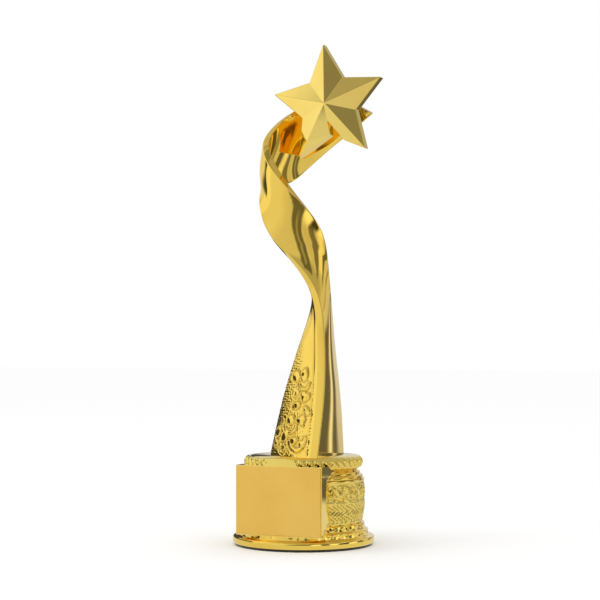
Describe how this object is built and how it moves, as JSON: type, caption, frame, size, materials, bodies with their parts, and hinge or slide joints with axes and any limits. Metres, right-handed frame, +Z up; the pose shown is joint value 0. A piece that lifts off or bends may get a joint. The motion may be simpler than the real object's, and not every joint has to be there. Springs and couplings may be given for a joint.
{
  "type": "star trophy",
  "caption": "Gold star trophy: a star on a twisted ribbon stem, on a round stepped base with a blank square nameplate.",
  "frame": {"origin": "middle of the felt's underside, on the axis of the round base, at the level the trophy stands on", "axes": "+Z up the base's axis; -Y is the way the nameplate and the star face; +X is to the right as seen by someone reading the nameplate"},
  "size_m": [0.085, 0.079, 0.2781],
  "materials": {
    "gold": "polished",
    "carved_gold": "polished",
    "satin_gold": "satin",
    "steel": "satin",
    "iron": "matte",
    "insert_brass": "satin",
    "felt": "matte"
  },
  "bodies": {
    "root": {"felt_pad": "felt", "base_cover": "steel", "cover_screws": "steel", "foot": "gold", "ballast_weight": "iron", "drum": "carved_gold", "neck_ring": "gold", "top_cap": "gold", "plaque_block": "gold", "nameplate": "satin_gold", "block_screws": "steel", "tie_rod": "steel", "rod_washer": "steel", "lock_washer": "steel", "rod_nut": "steel", "ribbon": "gold", "stem_insert": "insert_brass", "locating_pins": "steel", "star_front": "gold", "star_back": "gold", "star_insert": "insert_brass", "star_screw": "steel", "star_washer": "steel"}
  },
  "joints": []
}
